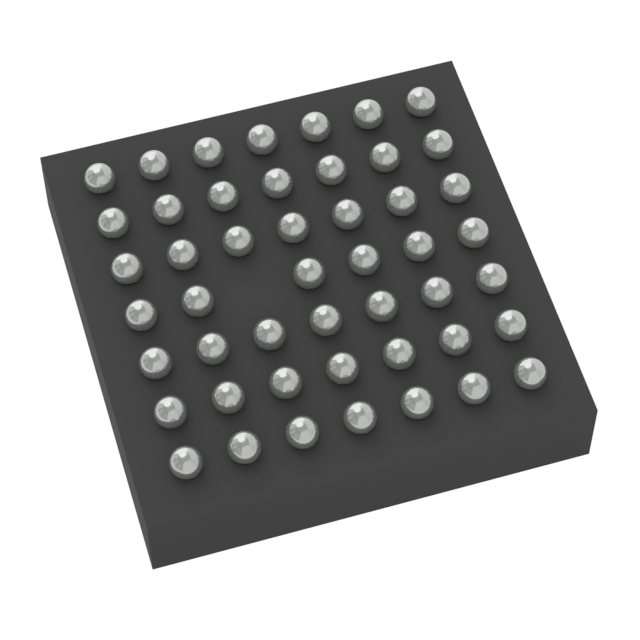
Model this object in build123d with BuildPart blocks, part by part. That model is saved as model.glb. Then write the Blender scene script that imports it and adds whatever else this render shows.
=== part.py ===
from build123d import *
import os
from math import cos, hypot, radians, sin, sqrt

# A ball-grid-array logic chip, lying on its flat moulded face with its solder balls up.
# Millimetres. The origin is the middle of the face it lies on and +Z points to the balls.
# Row A of the grid is at -Y and column 1 at -X, in the view from the ball side.

# Package body
body_side = 6.24
body_height = 1.20
substrate_thickness = 0.30
corner_mark_diameter = 0.60
corner_mark_depth = 0.05
corner_mark_inset = 0.90

# Solder balls
ball_pitch = 0.80
ball_diameter = 0.44
ball_foot_diameter = 0.302
row_letters = "abcdefg"
column_numbers = range(1, 8)
empty_site = ("d", 3)

# Silicon die and the adhesive film that holds it
die_side = 2.80
die_thickness = 0.25
die_attach_thickness = 0.03
die_attach_margin = 0.05

# Bond wires, which are round in the real part and square here
wires_per_side = 12
wire_thickness = 0.022
wire_loop_height = 0.15
wire_level_run = 0.30
wire_foot_length = 0.034
wire_inset_from_die_edge = 0.08
wire_pitch_on_die = 0.20

# Copper fingers that the wires are stitched to
finger_pitch = 0.30
finger_width = 0.12
finger_length = 0.30
finger_thickness = 0.02
finger_gap_to_die = 0.55

# Levels, from the face the chip lies on
chip_side_level = body_height - substrate_thickness
finger_face_level = chip_side_level - finger_thickness
die_back_level = chip_side_level - die_attach_thickness
die_face_level = die_back_level - die_thickness
loop_level = die_face_level - wire_loop_height

# Each ball is a sphere cut where it is as wide as its foot
ball_radius = ball_diameter / 2
ball_centre_level = body_height + sqrt(ball_radius**2 - (ball_foot_diameter / 2) ** 2)

# How far out from the middle the wires start on the die and end on the fingers
wire_start_reach = die_side / 2 - wire_inset_from_die_edge
finger_reach = die_side / 2 + finger_gap_to_die + finger_length / 2

# The four sides of the die, and the places along one side counted from its middle
side_angles = (0, 90, 180, 270)
side_steps = [n - (wires_per_side - 1) / 2 for n in range(wires_per_side)]


def turned(x, y, angle):
    """The point x, y turned about the middle of the chip."""
    c, s = cos(radians(angle)), sin(radians(angle))
    return Vector(x * c - y * s, x * s + y * c)


def ball_site(letter, number):
    """The middle of one site of the ball grid."""
    column = column_numbers.index(number) - (len(column_numbers) - 1) / 2
    row = row_letters.index(letter) - (len(row_letters) - 1) / 2
    return Vector(column * ball_pitch, row * ball_pitch)


# Substrate: one laminated board of glass and resin, with its masks and copper inside
with BuildPart() as substrate:
    with BuildSketch(Plane.XY.offset(chip_side_level)):
        Rectangle(body_side, body_side)
    extrude(amount=substrate_thickness)

# Adhesive film on the chip side of the substrate
with BuildPart() as die_attach:
    with BuildSketch(Plane.XY.offset(die_back_level)):
        Rectangle(die_side + 2 * die_attach_margin, die_side + 2 * die_attach_margin)
    extrude(amount=die_attach_thickness)

# Silicon die, hung from the film with its circuit facing down
with BuildPart() as die:
    with BuildSketch(Plane.XY.offset(die_face_level)):
        Rectangle(die_side, die_side)
    extrude(amount=die_thickness)

# Bond fingers: a row of copper strips along each side of the die
with BuildPart() as bond_fingers:
    with BuildSketch(Plane.XY.offset(finger_face_level)):
        for angle in side_angles:
            for step in side_steps:
                middle = turned(finger_reach, step * finger_pitch, angle)
                with Locations(Location((middle.X, middle.Y, 0), angle)):
                    Rectangle(finger_length, finger_width)
    extrude(amount=finger_thickness)

# Bond wires: straight off the die, along at the level of the loop, then up to the finger
with BuildPart() as bond_wires:
    for angle in side_angles:
        for step in side_steps:
            start = turned(wire_start_reach, step * wire_pitch_on_die, angle)
            end = turned(finger_reach, step * finger_pitch, angle)
            along = (end - start).normalized()
            span = (end - start).length
            upright = Plane(start, x_dir=along, z_dir=along.cross(Vector(0, 0, 1)))
            with BuildSketch(upright):
                with BuildLine():
                    Polyline(
                        (0, die_face_level),
                        (0, loop_level),
                        (wire_level_run, loop_level),
                        (span, finger_face_level),
                        (span - wire_foot_length, finger_face_level),
                        (wire_level_run, loop_level + wire_thickness),
                        (wire_thickness, loop_level + wire_thickness),
                        (wire_thickness, die_face_level),
                        close=True,
                    )
                make_face()
            extrude(amount=wire_thickness / 2, both=True)

# Moulded body: black epoxy cast over the die, the wires and the fingers
with BuildPart() as mold_cap:
    with BuildSketch(Plane.XY):
        Rectangle(body_side, body_side)
    extrude(amount=chip_side_level)
    # Shallow round mark at the corner of ball a1
    with BuildSketch(Plane.XY):
        with Locations((corner_mark_inset - body_side / 2, corner_mark_inset - body_side / 2)):
            Circle(corner_mark_diameter / 2)
    extrude(amount=corner_mark_depth, mode=Mode.SUBTRACT)
    for inner in (die_attach, die, bond_fingers, bond_wires):
        add(inner.part, mode=Mode.SUBTRACT)

# One solder ball, a sphere flat where it is wetted to the substrate
with BuildPart(Plane.XY.offset(ball_centre_level)) as ball:
    Sphere(ball_radius)
    split(bisect_by=Plane.XY.offset(body_height), keep=Keep.TOP)

# The balls in their grid, without the empty site
balls = {}
for letter in row_letters:
    for number in column_numbers:
        if (letter, number) != empty_site:
            balls[f"ball_{letter}{number}"] = Pos(ball_site(letter, number)) * ball.part

mold_cap.part.label = "mold_cap"
substrate.part.label = "substrate"
die_attach.part.label = "die_attach"
die.part.label = "die"
bond_fingers.part.label = "bond_fingers"
bond_wires.part.label = "bond_wires"

os.makedirs("parts", exist_ok=True)
export_step(mold_cap.part, "parts/mold_cap.step")
export_step(substrate.part, "parts/substrate.step")
export_step(die_attach.part, "parts/die_attach.step")
export_step(die.part, "parts/die.step")
export_step(bond_fingers.part, "parts/bond_fingers.step")
export_step(bond_wires.part, "parts/bond_wires.step")
for name, solder_ball in balls.items():
    solder_ball.label = name
    export_step(solder_ball, f"parts/{name}.step")
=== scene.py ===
from math import cos, degrees, pi, radians, sin, tan

import bpy
from bpy.props import FloatProperty, FloatVectorProperty, PointerProperty
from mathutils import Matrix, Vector


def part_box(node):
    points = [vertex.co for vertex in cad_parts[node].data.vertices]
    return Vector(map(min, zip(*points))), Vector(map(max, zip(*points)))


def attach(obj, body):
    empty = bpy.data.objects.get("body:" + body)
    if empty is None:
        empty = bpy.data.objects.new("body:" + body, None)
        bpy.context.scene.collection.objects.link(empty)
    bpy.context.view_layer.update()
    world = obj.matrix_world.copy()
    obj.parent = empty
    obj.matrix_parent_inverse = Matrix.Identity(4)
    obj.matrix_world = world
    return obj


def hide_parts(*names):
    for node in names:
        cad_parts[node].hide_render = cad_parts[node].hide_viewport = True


bl_info = {
    "name": "Ball-grid logic chip",
    "version": (1, 0, 0),
    "blender": (4, 5, 0),
    "location": "View3D > Sidebar > Logic Chip",
    "description": "Dresses the packed CAD of a programmable logic chip and lights it",
    "category": "Object",
}

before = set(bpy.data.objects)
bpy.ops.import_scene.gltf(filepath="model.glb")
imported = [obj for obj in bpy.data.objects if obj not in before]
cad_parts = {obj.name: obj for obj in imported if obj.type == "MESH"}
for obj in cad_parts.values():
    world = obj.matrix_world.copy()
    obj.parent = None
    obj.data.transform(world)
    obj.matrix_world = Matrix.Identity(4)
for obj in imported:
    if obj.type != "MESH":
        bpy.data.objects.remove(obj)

MM = 0.001
BODY = "root"
BALL_NODES = sorted(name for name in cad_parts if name.startswith("ball_"))

# Levels and widths of the chip, read from the frame
first_ball_low, first_ball_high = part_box(BALL_NODES[0])
BALL_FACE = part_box("substrate")[1].z
BALL_TOP = first_ball_high.z
BALL_WIDTH = first_ball_high.x - first_ball_low.x

# A reflowed ball bulges a little past the nominal sphere
BALL_BULGE = 1.02

# Faces round a ball and from pole to pole, and the angle from which an edge stays sharp
BALL_SEGMENTS = 64
BALL_RINGS = 40
SHARP_EDGE = radians(35)

# Both dark resins scatter light almost evenly, with less sheen than clear epoxy
RESIN_ROUGHNESS = 0.8
RESIN_SPECULAR = 0.2

# How far the lamps and the cards of the room stand from the chip
LAMP_DISTANCE = 250 * MM
BACK_DISTANCE = LAMP_DISTANCE + 10 * MM
CARD_DISTANCE = 400 * MM
PANE_DISTANCE = 210 * MM

# The corners of the cards, each an azimuth and an elevation in degrees
BACK_FACE = ((-33, -12), (22, -12), (24, 40), (-33, 40))
BACK_WING = ((22, -10), (42, -10), (38, 46), (24, 48))
OVERHEAD_CARD = ((-45, 40), (38, 47), (112, 52), (-147, 60))
RIGHT_CARD = ((100, -4), (103, 50), (138, 58), (137, -4))
LEFT_CARD = ((-34, -4), (-34, 44), (-145, 58), (-145, -4))
BACK_LEFT_PANE = ((-36, -3), (-38, 41), (-64, 41), (-61, -3))
LEFT_PANE = ((-76, -3), (-77, 41), (-93, 41), (-92, -3))
FRONT_LEFT_PANE = ((-107, -3), (-108, 41), (-138, 41), (-138, -3))

# The level at which a glow comes out white in the picture
WHITE = 1.0

# The floor is metres wide, and a hair under the chip so that the two don't share one plane
FLOOR_WIDTH = 4.0
FLOOR_DROP = 0.002 * MM

# How white the floor's card is, how bright it glows, and how much of the view of it is glow
FLOOR_WHITENESS = 0.8
FLOOR_GLOW = 1.06
FLOOR_GLOW_SHARE = 0.92

# The camera is aimed at a point of the ball face a little in front of its middle
CAMERA_AIM = Vector((-0.046 * MM, -0.680 * MM, BALL_FACE))

# The width of the camera's sensor, a plain number of millimetres like the lens
SENSOR_WIDTH = 36.0


def linear(hex_colour):
    """An sRGB hex colour as linear red, green and blue."""
    parts = [int(hex_colour[i : i + 2], 16) / 255 for i in (1, 3, 5)]
    return [c / 12.92 if c <= 0.04045 else ((c + 0.055) / 1.055) ** 2.4 for c in parts]


class ChipBallSettings(bpy.types.PropertyGroup):
    """Size and finish of the solder balls."""

    diameter: FloatProperty(
        name="Diameter",
        description="Width of a reflowed ball at its middle, a little over the nominal one",
        default=BALL_BULGE * BALL_WIDTH,
        min=0.1 * MM,
        max=1.0 * MM,
        unit="LENGTH",
        precision=6,
    )
    solder: FloatVectorProperty(
        name="Solder",
        description="Colour of the tin-silver-copper solder",
        default=linear("#bcbebb"),
        min=0.0,
        max=1.0,
        subtype="COLOR",
    )
    roughness: FloatProperty(
        name="Roughness",
        description="Micro-roughness of the frozen solder skin",
        default=0.14,
        min=0.0,
        max=1.0,
        subtype="FACTOR",
    )


class ChipCaseSettings(bpy.types.PropertyGroup):
    """Colours of the moulded case and the laminate."""

    compound: FloatVectorProperty(
        name="Moulding compound",
        description="Colour of the carbon-black epoxy, and of the laminate's sawn sides",
        default=linear("#424242"),
        min=0.0,
        max=1.0,
        subtype="COLOR",
    )
    mask: FloatVectorProperty(
        name="Solder mask",
        description="Colour of the matt mask on the ball side",
        default=linear("#424242"),
        min=0.0,
        max=1.0,
        subtype="COLOR",
    )


class ChipInsideSettings(bpy.types.PropertyGroup):
    """Colours of what the case hides."""

    silicon: FloatVectorProperty(
        name="Silicon",
        description="Colour of the ground silicon die",
        default=linear("#5c6068"),
        min=0.0,
        max=1.0,
        subtype="COLOR",
    )
    film: FloatVectorProperty(
        name="Die-attach film",
        description="Colour of the cured adhesive film",
        default=linear("#c9c2a8"),
        min=0.0,
        max=1.0,
        subtype="COLOR",
    )
    gold: FloatVectorProperty(
        name="Gold",
        description="Colour of the wires and of the plated fingers",
        default=linear("#e0b45c"),
        min=0.0,
        max=1.0,
        subtype="COLOR",
    )


class ChipStageSettings(bpy.types.PropertyGroup):
    """The camera and the brightness of the studio."""

    camera_distance: FloatProperty(
        name="Camera distance",
        description="From the camera to the point it is aimed at",
        default=31.95 * MM,
        min=10 * MM,
        max=1.0,
        unit="LENGTH",
        precision=6,
    )
    camera_azimuth: FloatProperty(
        name="Camera azimuth",
        description="Turn of the camera round the chip, from the front towards the right",
        default=radians(-16.56),
        subtype="ANGLE",
    )
    camera_elevation: FloatProperty(
        name="Camera elevation",
        description="Height of the camera above the horizon",
        default=radians(57.69),
        subtype="ANGLE",
    )
    lens: FloatProperty(
        name="Focal length",
        description="Focal length for a 36 mm sensor, in millimetres",
        default=130.66,
        min=10,
        max=300,
        unit="CAMERA",
    )
    key_radiance: FloatProperty(
        name="Key brightness",
        description="Brightness of the round softbox behind and above the chip",
        default=0.8,
        min=0.0,
        max=20.0,
    )
    back_radiance: FloatProperty(
        name="Back brightness",
        description="Brightness of the low softbox behind the chip",
        default=0.5,
        min=0.0,
        max=20.0,
    )
    fill_radiance: FloatProperty(
        name="Fill brightness",
        description="Brightness of the wide softbox in front of the chip",
        default=0.65,
        min=0.0,
        max=20.0,
    )
    room_level: FloatProperty(
        name="Room level",
        description="Brightness of the white room as it lights the chip",
        default=0.6,
        min=0.0,
        max=2.0,
    )


def add_node(tree, kind, settings=None, **sockets):
    """Adds a node with its own settings, and gives its sockets their values or links.

    A socket's name has underscores for spaces, and _6 stands for the socket at place 6.
    """
    node = tree.nodes.new(kind)
    for name, value in (settings or {}).items():
        setattr(node, name, value)
    for name, value in sockets.items():
        key = int(name[1:]) if name[0] == "_" else name.replace("_", " ")
        socket = node.inputs[key]
        if isinstance(value, bpy.types.NodeSocket):
            tree.links.new(value, socket)
        else:
            socket.default_value = value
    return node


def new_material(name):
    """A node material without nodes, as (material, tree)."""
    material = bpy.data.materials.new(name)
    material.use_nodes = True
    material.node_tree.nodes.clear()
    return material, material.node_tree


def deselect_all():
    """Leaves nothing selected, because an operator acts on all that is."""
    bpy.ops.object.select_all(action="DESELECT")
    bpy.context.view_layer.objects.active = None


def make_active(piece):
    """Selects one object alone."""
    deselect_all()
    piece.select_set(True)
    bpy.context.view_layer.objects.active = piece


def apply_place(piece):
    """Puts an object's place, turn and scale into its mesh."""
    make_active(piece)
    bpy.ops.object.transform_apply(location=True, rotation=True, scale=True)


def dress(node, material):
    """Gives a CAD node its finish in its own slot."""
    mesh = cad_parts[node].data
    mesh.materials.clear()
    mesh.materials.append(material)


def reflowed_solder(settings):
    """Tin-silver-copper solder, melted into a ball and frozen: a bright skin that mirrors the room.

    Tin dendrites in the skin soften what it mirrors.
    """
    material, tree = new_material("reflowed tin-silver-copper solder")
    place = add_node(tree, "ShaderNodeTexCoord").outputs["Object"]
    # Dendrites stand some hundredths of a millimetre apart: here 0.05 mm, three or four pixels
    dendrites = add_node(
        tree, "ShaderNodeTexNoise", Vector=place, Scale=1 / (0.05 * MM), Detail=3.0, Roughness=0.55
    )
    # The gloss wavers with them about the set roughness
    gloss = add_node(
        tree,
        "ShaderNodeMapRange",
        Value=dendrites.outputs["Fac"],
        To_Min=settings.roughness - 0.04,
        To_Max=settings.roughness + 0.06,
    )
    skin = add_node(
        tree, "ShaderNodeBump", Strength=0.05, Distance=0.002 * MM, Height=dendrites.outputs["Fac"]
    )
    # A thin film of oxide scatters part of the light, so the solder is less than a full metal
    shader = add_node(
        tree,
        "ShaderNodeBsdfPrincipled",
        Base_Color=(*settings.solder, 1),
        Metallic=0.7,
        Roughness=gloss.outputs["Result"],
        Normal=skin.outputs["Normal"],
    )
    add_node(tree, "ShaderNodeOutputMaterial", Surface=shader.outputs["BSDF"])
    return material


def dark_resin(name, face_colour, side_colour, grain, depth):
    """A matt resin black with carbon, with a tone for its upper face and one for its sides.

    Its grain has the given spacing, wavers by a twentieth in tone and stands up by the given depth.
    """
    material, tree = new_material(name)
    place = add_node(tree, "ShaderNodeTexCoord").outputs["Object"]
    filler = add_node(
        tree, "ShaderNodeTexNoise", Vector=place, Scale=1 / grain, Detail=2.0, Roughness=0.5
    )
    facing = add_node(
        tree, "ShaderNodeSeparateXYZ", Vector=add_node(tree, "ShaderNodeNewGeometry").outputs["Normal"]
    )
    # What looks up is the face, and all the rest counts as side
    on_face = add_node(
        tree, "ShaderNodeMath", {"operation": "GREATER_THAN"}, _0=facing.outputs["Z"], _1=0.5
    )
    # Sockets 6 and 7 are the two colours of a colour mix, and output 2 is the mixed one
    resin = add_node(
        tree,
        "ShaderNodeMix",
        {"data_type": "RGBA"},
        Factor=on_face.outputs[0],
        _6=(*side_colour, 1),
        _7=(*face_colour, 1),
    )
    shade = add_node(
        tree, "ShaderNodeMapRange", Value=filler.outputs["Fac"], To_Min=0.95, To_Max=1.05
    )
    tone = add_node(
        tree,
        "ShaderNodeVectorMath",
        {"operation": "SCALE"},
        _0=resin.outputs[2],
        Scale=shade.outputs["Result"],
    )
    skin = add_node(
        tree, "ShaderNodeBump", Strength=0.1, Distance=depth, Height=filler.outputs["Fac"]
    )
    shader = add_node(
        tree,
        "ShaderNodeBsdfPrincipled",
        Base_Color=tone.outputs[0],
        Roughness=RESIN_ROUGHNESS,
        IOR=1.5,
        Specular_IOR_Level=RESIN_SPECULAR,
        Normal=skin.outputs["Normal"],
    )
    add_node(tree, "ShaderNodeOutputMaterial", Surface=shader.outputs["BSDF"])
    return material


def moulded_epoxy(settings):
    """Epoxy compound, moulded against matt steel: an even charcoal with no shine."""
    # Its silica filler has grains of some 0.03 mm, near two pixels
    return dark_resin(
        "moulded epoxy compound",
        face_colour=settings.compound,
        side_colour=settings.compound,
        grain=0.03 * MM,
        depth=0.002 * MM,
    )


def masked_laminate(settings):
    """Solder mask, printed on laminate that is sawn to size: as dark and matt, with a flatter grain.

    The sawn sides show bare resin, in the tone of the moulding compound.
    """
    # The printed mask has a soft mottle, here 0.06 mm apart, near four pixels
    return dark_resin(
        "matt solder mask on laminate",
        face_colour=settings.mask,
        side_colour=settings.compound,
        grain=0.06 * MM,
        depth=0.001 * MM,
    )


def plain_finish(name, colour, metallic, roughness):
    """An even finish for a piece that the case hides."""
    material, tree = new_material(name)
    shader = add_node(
        tree,
        "ShaderNodeBsdfPrincipled",
        Base_Color=(*colour, 1),
        Metallic=metallic,
        Roughness=roughness,
    )
    add_node(tree, "ShaderNodeOutputMaterial", Surface=shader.outputs["BSDF"])
    return material


class CHIP_OT_case(bpy.types.Operator):
    """Dress the moulded case and the laminate that carries the balls"""

    bl_idname = "chip.case"
    bl_label = "Moulded Case and Laminate"

    def execute(self, context):
        settings = context.scene.chip_case
        dress("mold_cap", moulded_epoxy(settings))
        dress("substrate", masked_laminate(settings))
        return {"FINISHED"}


class CHIP_OT_inside(bpy.types.Operator):
    """Dress the die, its film, the wires and the fingers, which the case hides"""

    bl_idname = "chip.inside"
    bl_label = "Die, Film, Wires and Fingers"

    def execute(self, context):
        settings = context.scene.chip_inside
        # Silicon, ground thin: a dull grey mirror
        silicon = plain_finish("ground silicon", settings.silicon, metallic=0.6, roughness=0.25)
        # Adhesive film, laid on and cured: pale and matt
        film = plain_finish("cured adhesive film", settings.film, metallic=0.0, roughness=0.6)
        # Gold wire, drawn thin: smooth and bright
        wire = plain_finish("drawn gold wire", settings.gold, metallic=1.0, roughness=0.2)
        # Copper plated with gold: the same tone with a satin skin
        plating = plain_finish("gold-plated copper", settings.gold, metallic=1.0, roughness=0.35)
        dress("die", silicon)
        dress("die_attach", film)
        dress("bond_wires", wire)
        dress("bond_fingers", plating)
        return {"FINISHED"}


class CHIP_OT_solder_balls(bpy.types.Operator):
    """Model one solder ball and set a copy on every site of the grid"""

    bl_idname = "chip.solder_balls"
    bl_label = "Solder Balls"

    def execute(self, context):
        settings = context.scene.chip_balls
        material = reflowed_solder(settings)
        radius = settings.diameter / 2
        deselect_all()
        bpy.ops.mesh.primitive_uv_sphere_add(
            segments=BALL_SEGMENTS,
            ring_count=BALL_RINGS,
            radius=radius,
            location=(0, 0, BALL_TOP - radius),
        )
        pattern = context.active_object
        bpy.ops.object.transform_apply(location=True, rotation=False, scale=False)
        # Known fault: meant to cut the foot flat at the mask, this cut has a threshold of 0.1 mm, too
        # coarse for so small a ball. The ball stays whole, sunk in the laminate, with doubled faces
        # near the mask. A threshold of 1e-7 cuts it flat and closed.
        bpy.ops.object.mode_set(mode="EDIT")
        bpy.ops.mesh.select_all(action="SELECT")
        bpy.ops.mesh.bisect(
            plane_co=(0, 0, BALL_FACE), plane_no=(0, 0, 1), use_fill=True, clear_inner=True
        )
        bpy.ops.object.mode_set(mode="OBJECT")
        pattern.data.materials.append(material)
        make_active(pattern)
        bpy.ops.object.shade_smooth_by_angle(angle=SHARP_EDGE)
        for name in BALL_NODES:
            low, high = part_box(name)
            ball = pattern.copy()
            ball.data = pattern.data.copy()
            ball.name = "solder_" + name
            ball.data.name = ball.name
            context.collection.objects.link(ball)
            ball.location = ((low.x + high.x) / 2, (low.y + high.y) / 2, 0)
            apply_place(ball)
            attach(ball, BODY)
            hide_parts(name)
        bpy.data.objects.remove(pattern)
        return {"FINISHED"}


def white_to_the_eye(tree, plain, shown):
    """How bright white looks: the second value to the camera and in metal and glass, else the first."""
    light_path = add_node(tree, "ShaderNodeLightPath")
    seen = light_path.outputs["Is Camera Ray"]
    for kind in ("Is Glossy Ray", "Is Transmission Ray"):
        seen = add_node(
            tree, "ShaderNodeMath", {"operation": "MAXIMUM"}, _0=seen, _1=light_path.outputs[kind]
        ).outputs[0]
    return add_node(
        tree, "ShaderNodeMapRange", Value=seen, To_Min=plain, To_Max=shown
    ).outputs["Result"]


def white_room(level):
    """A world that lights the chip at the given level and looks white."""
    world = bpy.data.worlds.new("white room")
    world.use_nodes = True
    tree = world.node_tree
    tree.nodes.clear()
    background = add_node(
        tree,
        "ShaderNodeBackground",
        Color=(1, 1, 1, 1),
        Strength=white_to_the_eye(tree, level, WHITE),
    )
    add_node(tree, "ShaderNodeOutputWorld", Surface=background.outputs["Background"])
    return world


def matt_white_card():
    """Uncoated white card: it shows no sheen, and little but the chip's shadow.

    What is seen of it is mostly an even white, and for the rest the lit card with its shadow.
    """
    material, tree = new_material("matt white card")
    white = (FLOOR_WHITENESS, FLOOR_WHITENESS, FLOOR_WHITENESS, 1)
    paper = add_node(tree, "ShaderNodeBsdfDiffuse", Color=white)
    lift = add_node(tree, "ShaderNodeEmission", Color=(1, 1, 1, 1), Strength=FLOOR_GLOW)
    both = add_node(
        tree,
        "ShaderNodeMixShader",
        Fac=white_to_the_eye(tree, 0.0, FLOOR_GLOW_SHARE),
        _1=paper.outputs["BSDF"],
        _2=lift.outputs["Emission"],
    )
    add_node(tree, "ShaderNodeOutputMaterial", Surface=both.outputs["Shader"])
    return material


def glow(name, level):
    """The even glow of a lit card, which shows in the balls as a flat patch."""
    material, tree = new_material(name)
    light = add_node(tree, "ShaderNodeEmission", Color=(1, 1, 1, 1), Strength=level)
    add_node(tree, "ShaderNodeOutputMaterial", Surface=light.outputs["Emission"])
    return material


def room_direction(azimuth, elevation):
    """A direction in the room, in degrees: 0 is behind the chip and 90 to its right."""
    turn, rise = radians(azimuth), radians(elevation)
    return Vector((sin(turn) * cos(rise), cos(turn) * cos(rise), sin(rise)))


def show_mirrored_only(card):
    """Leaves a card to be seen in reflections alone, without matt light or shadow from it."""
    card.visible_camera = False
    card.visible_diffuse = False
    card.visible_shadow = False


def reflected_card(name, corners, distance, level):
    """A card out in the room, seen only mirrored, from the directions of its corners."""
    deselect_all()
    bpy.ops.mesh.primitive_plane_add(size=1)
    card = bpy.context.active_object
    card.name = name
    # The plane's corners run in rows, so the last two change places
    for vertex, corner in zip(card.data.vertices, (corners[0], corners[1], corners[3], corners[2])):
        vertex.co = room_direction(*corner) * distance
    card.data.materials.append(glow(name, level))
    show_mirrored_only(card)


def round_card(name, azimuth, elevation, width, distance, level):
    """A round card, seen only mirrored: its direction and its apparent width in degrees."""
    towards = room_direction(azimuth, elevation)
    deselect_all()
    bpy.ops.mesh.primitive_circle_add(
        vertices=48,
        radius=distance * tan(radians(width / 2)),
        fill_type="NGON",
        location=towards * distance,
        rotation=towards.to_track_quat("Z", "Y").to_euler(),
    )
    card = bpy.context.active_object
    card.name = name
    apply_place(card)
    card.data.materials.append(glow(name, level))
    show_mirrored_only(card)


def softbox(name, azimuth, elevation, width, radiance):
    """A round lamp aimed at the chip: its direction and its apparent width, in degrees.

    Its light adds to what is behind it in a reflection, so the balls mirror a card instead.
    """
    towards = room_direction(azimuth, elevation)
    lamp = bpy.data.lights.new(name, "AREA")
    lamp.shape = "DISK"
    lamp.size = 2 * LAMP_DISTANCE * tan(radians(width / 2))
    # An even disk gives off pi times its area times its radiance
    lamp.energy = radiance * pi * pi * (lamp.size / 2) ** 2
    box = bpy.data.objects.new(name, lamp)
    bpy.context.collection.objects.link(box)
    box.location = towards * LAMP_DISTANCE
    box.rotation_euler = towards.to_track_quat("Z", "Y").to_euler()
    box.visible_camera = False
    box.visible_glossy = False


def hang_mirrored_cards():
    """Hangs what the balls mirror of the studio: the lamps' white faces, grey cards and panes."""
    round_card("key face", azimuth=-14, elevation=57, width=43, distance=LAMP_DISTANCE, level=1.90)
    reflected_card("back face", BACK_FACE, distance=BACK_DISTANCE, level=1.75)
    reflected_card("back wing", BACK_WING, distance=BACK_DISTANCE, level=1.12)
    reflected_card("overhead card", OVERHEAD_CARD, distance=CARD_DISTANCE, level=0.49)
    reflected_card("right card", RIGHT_CARD, distance=CARD_DISTANCE, level=0.85)
    reflected_card("left card", LEFT_CARD, distance=CARD_DISTANCE, level=0.40)
    reflected_card("back-left pane", BACK_LEFT_PANE, distance=PANE_DISTANCE, level=0.80)
    reflected_card("left pane", LEFT_PANE, distance=PANE_DISTANCE, level=0.68)
    reflected_card("front-left pane", FRONT_LEFT_PANE, distance=PANE_DISTANCE, level=0.53)


class CHIP_OT_stage(bpy.types.Operator):
    """Add the white room, the floor, the lamps, the mirrored cards and the camera"""

    bl_idname = "chip.stage"
    bl_label = "Stage"

    def execute(self, context):
        settings = context.scene.chip_stage
        scene = context.scene
        scene.view_settings.view_transform = "Standard"
        scene.world = white_room(settings.room_level)

        # Floor, which takes the chip's shadow
        deselect_all()
        bpy.ops.mesh.primitive_plane_add(size=FLOOR_WIDTH, location=(0, 0, -FLOOR_DROP))
        floor = context.active_object
        floor.name = "floor"
        apply_place(floor)
        floor.data.materials.append(matt_white_card())

        # Lamps: the key behind, a low one under it, and a wide fill in front
        softbox("key softbox", azimuth=-13, elevation=53, width=46, radiance=settings.key_radiance)
        softbox("back softbox", azimuth=-6, elevation=16, width=46, radiance=settings.back_radiance)
        softbox("front softbox", azimuth=-150, elevation=50, width=70, radiance=settings.fill_radiance)
        hang_mirrored_cards()

        # Camera at the photograph's angle, whose azimuth is counted from the front
        camera = bpy.data.objects.new("camera", bpy.data.cameras.new("camera"))
        context.collection.objects.link(camera)
        camera.data.lens = settings.lens
        camera.data.sensor_width = SENSOR_WIDTH
        camera.data.clip_start = 1 * MM
        camera.data.clip_end = 10.0
        back = room_direction(
            180 - degrees(settings.camera_azimuth), degrees(settings.camera_elevation)
        )
        camera.location = CAMERA_AIM + back * settings.camera_distance
        camera.rotation_euler = (-back).to_track_quat("-Z", "Y").to_euler()
        scene.camera = camera
        return {"FINISHED"}


class CHIP_PT_panel(bpy.types.Panel):
    """The chip's pieces, in the order they are made"""

    bl_idname = "CHIP_PT_panel"
    bl_label = "Logic Chip"
    bl_space_type = "VIEW_3D"
    bl_region_type = "UI"
    bl_category = "Logic Chip"

    def draw(self, context):
        scene = context.scene
        for settings, operator in (
            (scene.chip_case, CHIP_OT_case),
            (scene.chip_inside, CHIP_OT_inside),
            (scene.chip_balls, CHIP_OT_solder_balls),
            (scene.chip_stage, CHIP_OT_stage),
        ):
            box = self.layout.box()
            for name in settings.__annotations__:
                box.prop(settings, name)
            box.operator(operator.bl_idname)


CLASSES = (
    ChipBallSettings,
    ChipCaseSettings,
    ChipInsideSettings,
    ChipStageSettings,
    CHIP_OT_case,
    CHIP_OT_inside,
    CHIP_OT_solder_balls,
    CHIP_OT_stage,
    CHIP_PT_panel,
)


def register():
    """Registers the classes and hangs their settings on the scene."""
    for cls in CLASSES:
        bpy.utils.register_class(cls)
    bpy.types.Scene.chip_balls = PointerProperty(type=ChipBallSettings)
    bpy.types.Scene.chip_case = PointerProperty(type=ChipCaseSettings)
    bpy.types.Scene.chip_inside = PointerProperty(type=ChipInsideSettings)
    bpy.types.Scene.chip_stage = PointerProperty(type=ChipStageSettings)


def unregister():
    """Takes away what register adds, in the other order."""
    del bpy.types.Scene.chip_stage
    del bpy.types.Scene.chip_inside
    del bpy.types.Scene.chip_case
    del bpy.types.Scene.chip_balls
    for cls in reversed(CLASSES):
        bpy.utils.unregister_class(cls)


def main():
    """Dresses the chip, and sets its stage."""
    register()
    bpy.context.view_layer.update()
    bpy.ops.chip.case()
    bpy.ops.chip.inside()
    bpy.ops.chip.solder_balls()
    bpy.ops.chip.stage()


if __name__ == "__main__":
    main()
